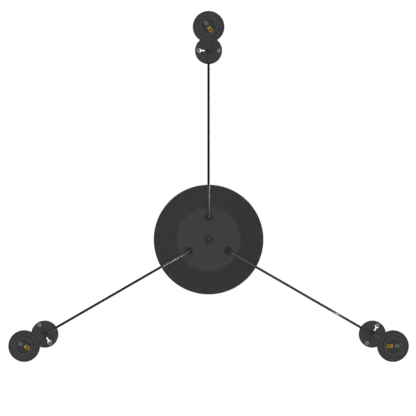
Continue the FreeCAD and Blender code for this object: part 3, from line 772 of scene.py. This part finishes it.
def makeBarrels():
    outer, root, mouth = barrel["outerR"], barrel["rootR"], barrel["mouthZ"]
    lipTop = mouth + barrel["lipH"]
    body = turned("barrel", [
        (outer, mouth, barrel["mouthRound"]),
        (outer, mouth + barrel["rimH"], barrel["rimRound"]),
        (root, mouth + barrel["rimH"] + barrel["rimSlopeH"]),
        (root, barrel["stepZ"] - barrel["stepRimH"] - barrel["stepSlopeH"]),
        (outer, barrel["stepZ"] - barrel["stepRimH"], barrel["stepRound"]),
        (outer, barrel["stepZ"]),
        (barrel["upperR"], barrel["stepZ"]),
        (barrel["upperR"], barrel["topZ"]),
        (barrel["spigotR"], barrel["topZ"]),
        (barrel["spigotR"], barrel["spigotZ"], barrel["spigotRound"]),
        (barrel["cavityR"], barrel["spigotZ"]),
        (barrel["cavityR"], barrel["floorZ"]),
        (barrel["socketRootR"], barrel["floorZ"]),
        (barrel["socketRootR"], lipTop + barrel["lipSlopeH"]),
        (barrel["socketR"], lipTop),
        (barrel["socketR"], mouth + barrel["chamfer"], barrel["chamferRound"]),
        (barrel["socketR"] + barrel["chamfer"], mouth, barrel["chamferRound"]),
    ], barrel["sides"], solid=False)
    body = joined(body, ridge(barrel["innerThread"]), ridge(barrel["outerThread"]))
    smooth(body)
    for arm in arms:
        put(body, "barrel_" + arm, headPlace(arm), "barrel_" + arm, "black_plastic",
            "lampholder_" + arm, "lampholder_barrel_" + arm)
    discard(body)


shadeRing = {
    "sides": 192, "boreR": 19.45, "outerR": 30.8, "height": 9.0, "edgeH": 2.0, "topR": 24.5,
    "lipW": 1.9, "lipH": 1.2, "lipBevel": 0.7, "edge": 0.6, "lipRound": 0.25,
    "boreRound": 0.2, "boreTopRound": 0.3,
}


def makeShadeRings():
    lipInner = shadeRing["outerR"] - shadeRing["lipW"]
    body = turned("shadeRing", [
        (shadeRing["boreR"], 0, shadeRing["boreRound"]),
        (lipInner - shadeRing["lipBevel"], 0),
        (lipInner, -shadeRing["lipH"], shadeRing["lipRound"]),
        (shadeRing["outerR"], -shadeRing["lipH"], shadeRing["edge"]),
        (shadeRing["outerR"], shadeRing["edgeH"], shadeRing["edge"]),
        (shadeRing["topR"], shadeRing["height"], shadeRing["edge"]),
        (shadeRing["boreR"], shadeRing["height"], shadeRing["boreTopRound"]),
    ], shadeRing["sides"], solid=False)
    smooth(body)
    for arm in arms:
        put(body, "shadeRing_" + arm, headPlace(arm), "shade_ring_" + arm, "black_plastic",
            "lampholder_" + arm, "shade_ring_" + arm)
    discard(body)


holderCap = {
    "sides": 144, "outerR": 19.4, "lowZ": 13.0, "sideH": 9.0, "topZ": 33.0, "topR": 9.0,
    "shoulder": 7.0, "topRound": 1.5, "wall": 2.4, "boreR": 5.05, "spigotR": 18.25,
    "spigotZ": 17.05, "lowRound": 0.2,
    "grooveEvery": 4, "grooveDepth": 0.35, "grooveLow": 14.2, "grooveHigh": 18.4,
}


def makeCaps():
    outer, top, wall = holderCap["outerR"], holderCap["topZ"], holderCap["wall"]
    sideZ = holderCap["lowZ"] + holderCap["sideH"]
    inner = outer - wall
    body = turned("cap", [
        (outer, holderCap["lowZ"], holderCap["lowRound"]),
        (outer, holderCap["grooveLow"]),
        (outer, holderCap["grooveHigh"]),
        (outer, sideZ, holderCap["shoulder"]),
        (holderCap["topR"], top, holderCap["topRound"]),
        (holderCap["boreR"], top),
        (holderCap["boreR"], top - wall),
        (holderCap["topR"] - wall / 2, top - wall),
        (inner, sideZ - wall / 2, holderCap["shoulder"] - wall),
        (inner, holderCap["spigotZ"]),
        (holderCap["spigotR"], holderCap["spigotZ"]),
        (holderCap["spigotR"], holderCap["lowZ"]),
    ], holderCap["sides"], solid=False)
    edit(body, "FACE")
    step = math.tau / holderCap["sides"]
    skinR = (outer + holderCap["spigotR"]) / 2

    def inGroove(face):
        spot = face.calc_center_median()
        side = int((math.atan2(spot.y, spot.x) % math.tau) / step)
        return (spot.xy.length > skinR and side % holderCap["grooveEvery"] == 0
                and holderCap["grooveLow"] < spot.z < holderCap["grooveHigh"])

    pick(body, "faces", inGroove)
    bpy.ops.mesh.extrude_region_shrink_fatten(
        TRANSFORM_OT_shrink_fatten={"value": -holderCap["grooveDepth"]})
    done()
    smooth(body)
    for arm in arms:
        put(body, "cap_" + arm, headPlace(arm), "blackPlastic", "black_plastic",
            "lampholder_" + arm, "lampholder_cap_" + arm)
    discard(body)


cordGrip = {
    "sides": 72, "boreR": 2.75, "stemR": 5.0, "stemLow": 24.0, "lowZ": 33.05, "collarR": 8.5,
    "collarH": 3.5, "bodyR": 7.0, "mouthZ": 53.0, "bellR": 5.5, "bellH": 5.2, "edge": 1.2,
    "lowEdge": 0.2, "bellRound": 0.3, "grubZ": 41.0, "grubHoleR": 1.55, "grubSpan": (3.5, 12),
}


def makeCordGrips():
    collarTop = cordGrip["lowZ"] + cordGrip["collarH"]
    body = turned("cordGrip", [
        (cordGrip["boreR"], cordGrip["stemLow"]),
        (cordGrip["stemR"], cordGrip["stemLow"]),
        (cordGrip["stemR"], cordGrip["lowZ"]),
        (cordGrip["collarR"], cordGrip["lowZ"], cordGrip["lowEdge"]),
        (cordGrip["collarR"], collarTop, cordGrip["edge"]),
        (cordGrip["bodyR"], collarTop),
        (cordGrip["bodyR"], cordGrip["mouthZ"], cordGrip["edge"]),
        (cordGrip["bellR"], cordGrip["mouthZ"], cordGrip["bellRound"]),
        (cordGrip["boreR"], cordGrip["mouthZ"] - cordGrip["bellH"]),
    ], cordGrip["sides"], solid=False)
    grubHole = ((x, 0, cordGrip["grubZ"]) for x in cordGrip["grubSpan"])
    cut(body, cylinder(cordGrip["grubHoleR"], *grubHole))
    smooth(body)
    for arm in arms:
        put(body, "cordGrip_" + arm, headPlace(arm), "blackPlastic", "black_plastic",
            "grip_" + arm, "cord_grip_" + arm)
    discard(body)


makeBarrels()
makeShadeRings()
makeCaps()
makeCordGrips()
print("lampholders made")


tongue = {
    "width": 7.9, "thickness": 0.6, "corner": 2.3, "cornerSteps": 4,
    "edge": 0.12, "edgeSteps": 2, "smoothTo": 40,
    # Distance from the lampholder's axis, and height of the strip's upper face
    "path": [(12.3, 2.0), (5.6, 2.0), (4.9, 1.75), (2.4, -0.25), (0.2, -2.0)],
}
rivet = {"x": 7.3, "topZ": 1.4, "headR": 1.6, "headH": 0.5, "headRound": 0.45, "sides": 32}
floorScrew = {
    "x": -6.6, "topZ": 1.5, "headR": 2.7, "headH": 1.4, "headRound": 0.7, "sides": 40,
    "slotW": 0.6, "slotH": 0.8, "slotReach": 5,
}


def makeTongues():
    # A strip of faces along the path, then its thickness and soft edges
    clearSelection()
    half = tongue["width"] / 2
    startX, startZ = tongue["path"][0]
    # Two corners of a square circle are the ends of the strip's first edge
    bpy.ops.mesh.primitive_circle_add(vertices=4, radius=half, location=(startX, 0, startZ))
    strip = named("tongue")
    bpy.ops.object.transform_apply()
    edit(strip, "VERT")
    pick(strip, "verts", lambda v: abs(v.co.y) < tolerance["same"])
    bpy.ops.mesh.delete(type="VERT")
    bpy.ops.mesh.select_all(action="SELECT")
    bpy.ops.mesh.edge_face_add()
    for x, z in tongue["path"][1:]:
        bpy.ops.mesh.extrude_region_move(
            TRANSFORM_OT_translate={"value": (x - startX, 0, z - startZ)})
        startX, startZ = x, z
    bpy.ops.mesh.select_all(action="DESELECT")
    tipX = tongue["path"][-1][0]
    pick(strip, "verts", lambda v: abs(v.co.x - tipX) < tolerance["same"])
    bpy.ops.mesh.bevel(
        offset=tongue["corner"], segments=tongue["cornerSteps"], affect="VERTICES")
    bpy.ops.mesh.select_all(action="SELECT")
    bpy.ops.mesh.normals_make_consistent(inside=False)
    done()
    applied(strip, "SOLIDIFY", thickness=tongue["thickness"], offset=0)
    strip.data.transform(Matrix.Translation((0, 0, -tongue["thickness"] / 2)))
    applied(strip, "BEVEL", width=tongue["edge"], segments=tongue["edgeSteps"],
            limit_method="ANGLE")
    smooth(strip, tongue["smoothTo"])
    for arm in arms:
        put(strip, "contactTongue_" + arm, headPlace(arm), "centre_contact_" + arm, "brass",
            "lampholder_" + arm, "centre_contact_" + arm)
    discard(strip)


def makeFixings():
    head = turned("rivet", [
        (rivet["headR"], rivet["topZ"]),
        (rivet["headR"], rivet["topZ"] - rivet["headH"], rivet["headRound"]),
    ], rivet["sides"])
    head.data.transform(Matrix.Translation((rivet["x"], 0, 0)))
    smooth(head)
    screw = turned("floorScrew", [
        (floorScrew["headR"], floorScrew["topZ"]),
        (floorScrew["headR"], floorScrew["topZ"] - floorScrew["headH"], floorScrew["headRound"]),
    ], floorScrew["sides"])
    wide, low = floorScrew["slotW"] / 2, floorScrew["topZ"] - floorScrew["headH"]
    reach = floorScrew["slotReach"]
    cut(screw, block((-reach, -wide, low - tolerance["cutOver"]),
                     (reach, wide, low + floorScrew["slotH"])))
    screw.data.transform(Matrix.Translation((floorScrew["x"], 0, 0)))
    smooth(screw)
    for arm in arms:
        put(head, "rivet_" + arm, headPlace(arm), "bronzeRivet", "brass",
            "lampholder_" + arm, "contact_fixings_" + arm)
        put(screw, "floorScrew_" + arm, headPlace(arm), "floorSteel", "zinc_steel",
            "lampholder_" + arm, "contact_fixings_" + arm)
    discard(head, screw)


makeTongues()
makeFixings()
print("contacts made")


# Heights in metres: a solid that reaches past one of them is a cable's end and not a core
leads = {"belowCanopyWall": -0.036, "insideGrip": -0.960, "merge": 0.00001, "smoothTo": 40}


def colourLeads(node, body, isSheath):
    # A merged copy of the leads: black where a solid is a cable's end, else brown and blue cores
    copy = nodes[node].copy()
    copy.data = nodes[node].data.copy()
    copy.name = copy.data.name = "leads_" + node
    copy.parent = None
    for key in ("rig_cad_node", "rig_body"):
        if key in copy:
            del copy[key]
    bpy.context.scene.collection.objects.link(copy)
    edit(copy)
    bpy.ops.mesh.select_all(action="SELECT")
    bpy.ops.mesh.remove_doubles(threshold=leads["merge"])
    done()
    copy.data.materials.clear()
    for finish in ("cableSheath", "brownCore", "blueCore"):
        copy.data.materials.append(finishes[finish])
    mesh = bmesh.new()
    mesh.from_mesh(copy.data)
    waiting, number = set(mesh.faces), 0
    while waiting:
        solid, edge = set(), [next(iter(waiting))]
        while edge:
            face = edge.pop()
            if face in solid:
                continue
            solid.add(face)
            edge.extend(near for side in face.edges for near in side.link_faces)
        waiting -= solid
        heights = [v.co.z for face in solid for v in face.verts]
        number += 1
        sheath = isSheath(min(heights), max(heights))
        # Finish 0 is the sheath, 1 and 2 are the cores
        for face in solid:
            face.material_index = 0 if sheath else 1 + number % 2
    mesh.to_mesh(copy.data)
    mesh.free()
    smooth(copy, leads["smoothTo"])
    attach(copy, body)
    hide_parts(node)


colourLeads("inner_leads", "ceiling_part", lambda low, high: low < leads["belowCanopyWall"])
for arm in arms:
    colourLeads("head_leads_" + arm, "lampholder_" + arm,
                lambda low, high: high > leads["insideGrip"])
print("leads coloured")


# The finish of each CAD node that is shown as it is
keptFinishes = {
    "mounting_strap": "zincSteel", "centre_stud": "zincSteel", "stud_nut": "zincSteel",
    "terminal_block": "clearPlastic", "terminal_inserts": "brass", "terminal_screws": "zincSteel",
    "strap_screws": "zincSteel", "gland_nuts": "blackPlastic", "gland_grub_screws": "zincSteel",
    "holder_fixing_screws": "zincSteel", "holder_grub_screws": "zincSteel",
    "cord_grip_screw": "zincSteel",
}

for name, node in nodes.items():
    if node.hide_render:
        continue
    base = name[:-2] if name[-2:] in ("_a", "_b", "_c") else name
    finish = finishes[name] if name in finishes else finishes[keptFinishes[base]]
    if not node.material_slots:
        node.data.materials.append(finish)
    for slot in node.material_slots:
        slot.material = finish
print("kept nodes finished")


stage = {
    "floorZ": -16.0, "floorSize": 160.0, "floorShade": 0.85, "floorRough": 0.9,
    "skyLight": 0.31, "background": 1.0, "white": (1, 1, 1, 1),
}


def whiteToLens(tree, lit, out, where):
    # Mixes a plain white for camera, glossy and transmission rays into what lights the object
    path = tree.nodes.new("ShaderNodeLightPath")
    seen = Wire(tree, path.outputs["Is Camera Ray"]) + Wire(tree, path.outputs["Is Glossy Ray"])
    seen = seen + Wire(tree, path.outputs["Is Transmission Ray"])
    seen = seen.sum("MINIMUM", seen, 1.0)
    white = tree.nodes.new("ShaderNodeEmission" if where == "floor" else "ShaderNodeBackground")
    white.inputs["Strength"].default_value = stage["background"]
    white.inputs["Color"].default_value = stage["white"]
    mix = tree.nodes.new("ShaderNodeMixShader")
    feed(tree, mix.inputs[0], seen)
    tree.links.new(lit.outputs[0], mix.inputs[1])
    tree.links.new(white.outputs[0], mix.inputs[2])
    tree.links.new(mix.outputs[0], out.inputs["Surface"])


clearSelection()
bpy.ops.mesh.primitive_plane_add(size=stage["floorSize"], location=(0, 0, stage["floorZ"]))
floor = named("floor")
floorFinish = Finish("paleFloor")
shade = stage["floorShade"]
floorFinish.set(**{"Base Color": (shade, shade, shade, 1), "Roughness": stage["floorRough"]})
whiteToLens(floorFinish.tree, floorFinish.shader,
            floorFinish.tree.nodes["Material Output"], "floor")
floor.data.materials.append(floorFinish.material)

world = bpy.data.worlds.new("studio")
bpy.context.scene.world = world
world.use_nodes = True
sky = world.node_tree.nodes["Background"]
sky.inputs["Color"].default_value = stage["white"]
sky.inputs["Strength"].default_value = stage["skyLight"]
whiteToLens(world.node_tree, sky, world.node_tree.nodes["World Output"], "sky")

# Metres and watts. A lamp with cables gives only a highlight, on these arms' swagged cables.
lamps = {
    "keyLamp": {"at": (0.1, 0.06, -15.4), "aim": (0, 0, -0.2), "size": 3.0, "power": 1590},
    "fillLamp": {"at": (-3.0, -3.0, -2.5), "aim": (0, 0, -0.5), "size": 2.5, "power": 16},
    "glossLamp": {"at": (2.5, 1.45, 0.9), "aim": (0, 0, -0.08), "size": 4.6, "height": 1.6,
                  "power": 1900, "cables": ["b", "c"]},
    "streakLamp": {"at": (1.98, 1.14, -2.30), "aim": (0.28, 0.16, -0.035), "size": 0.5,
                   "power": 1440, "cables": ["a"]},
}
for name, lamp in lamps.items():
    light = bpy.data.lights.new(name, "AREA")
    light.shape = "RECTANGLE"
    light.size = lamp["size"]
    light.size_y = lamp.get("height", lamp["size"])
    light.energy = lamp["power"]
    carrier = bpy.data.objects.new(name, light)
    bpy.context.scene.collection.objects.link(carrier)
    carrier.location = lamp["at"]
    carrier.visible_camera = False
    if "cables" in lamp:
        lit = bpy.data.collections.new(name)
        for arm in lamp["cables"]:
            lit.objects.link(bpy.data.objects["swagCable_" + arm])
        carrier.visible_diffuse = False
        carrier.light_linking.receiver_collection = lit
    carrier.rotation_euler = (Vector(lamp["aim"]) - Vector(lamp["at"])).to_track_quat(
        "-Z", "Y").to_euler()

# Straight up from below, with a long lens, leant a little so that the canopy sits low in the frame
camera = {
    "at": (0, 0, -8.92), "lens": 352.7, "sensor": 36.0, "farthest": 100,
    "leanY": 0.007748, "leanX": -0.000142,
}
lens = bpy.data.cameras.new("camera")
lens.lens = camera["lens"]
lens.sensor_width = camera["sensor"]
lens.clip_end = camera["farthest"]
viewer = bpy.data.objects.new("camera", lens)
bpy.context.scene.collection.objects.link(viewer)
viewer.location = camera["at"]
viewer.rotation_euler = (math.pi + camera["leanY"], camera["leanX"], 0)
bpy.context.scene.camera = viewer
bpy.context.scene.view_settings.view_transform = "Standard"
print("stage, lights and camera set")
